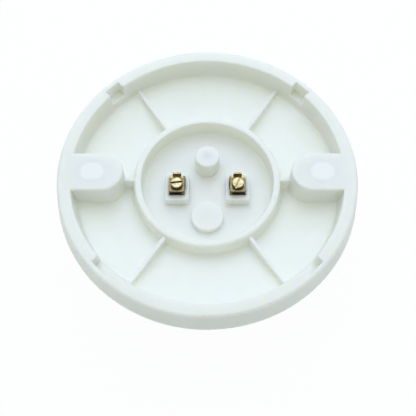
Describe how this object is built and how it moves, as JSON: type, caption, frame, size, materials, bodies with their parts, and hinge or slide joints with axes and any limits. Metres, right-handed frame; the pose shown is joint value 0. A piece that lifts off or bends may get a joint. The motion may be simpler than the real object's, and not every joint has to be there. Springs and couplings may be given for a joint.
{
  "type": "ceiling lamp holder",
  "caption": "Round white moulded lamp holder for a ceiling: screw socket in front, ribbed open back with a terminal ring, brass screw terminals and fixing lugs.",
  "frame": {"origin": "centre of the back face that meets the ceiling", "axes": "+Z out of the back towards the ceiling, socket opening down along -Z, +X from the centre-contact terminal to the shell terminal, +Y towards the tall screw post"},
  "size_m": [0.113, 0.113, 0.046],
  "materials": {
    "white_plastic": "satin moulded white thermoset",
    "shell_brass": "rolled thin sheet",
    "terminal_brass": "stamped and turned, lightly tarnished",
    "plated_steel": "zinc plated"
  },
  "bodies": {
    "holder": {"housing": "white_plastic", "screw_shell": "shell_brass", "shell_fixing_screw": "plated_steel", "centre_contact": "terminal_brass", "shell_contact": "terminal_brass"},
    "left_clamp": {"left_clamp_washer": "terminal_brass"},
    "left_screw": {"left_terminal_screw": "terminal_brass"},
    "right_clamp": {"right_clamp_washer": "terminal_brass"},
    "right_screw": {"right_terminal_screw": "terminal_brass"}
  },
  "joints": [
    {"name": "left_clamp_travel", "type": "slide", "parent": "holder", "child": "left_clamp", "axis": [0, 0, 1], "range_m": [-0.00115, 0.0013]},
    {"name": "left_screw_turn", "type": "hinge", "parent": "left_clamp", "child": "left_screw", "pos_m": [-0.0115, -0.0019, -0.0071], "axis": [0, 0, 1], "range_deg": [-828.5, 936.5]},
    {"name": "right_clamp_travel", "type": "slide", "parent": "holder", "child": "right_clamp", "axis": [0, 0, 1], "range_m": [-0.00115, 0.0013]},
    {"name": "right_screw_turn", "type": "hinge", "parent": "right_clamp", "child": "right_screw", "pos_m": [0.0115, -0.0019, -0.0071], "axis": [0, 0, 1], "range_deg": [-828.5, 936.5]}
  ],
  "couplings": [
    {"joint": "left_screw_turn", "follows": "left_clamp_travel", "rad_per_m": 12566},
    {"joint": "right_screw_turn", "follows": "right_clamp_travel", "rad_per_m": 12566}
  ]
}
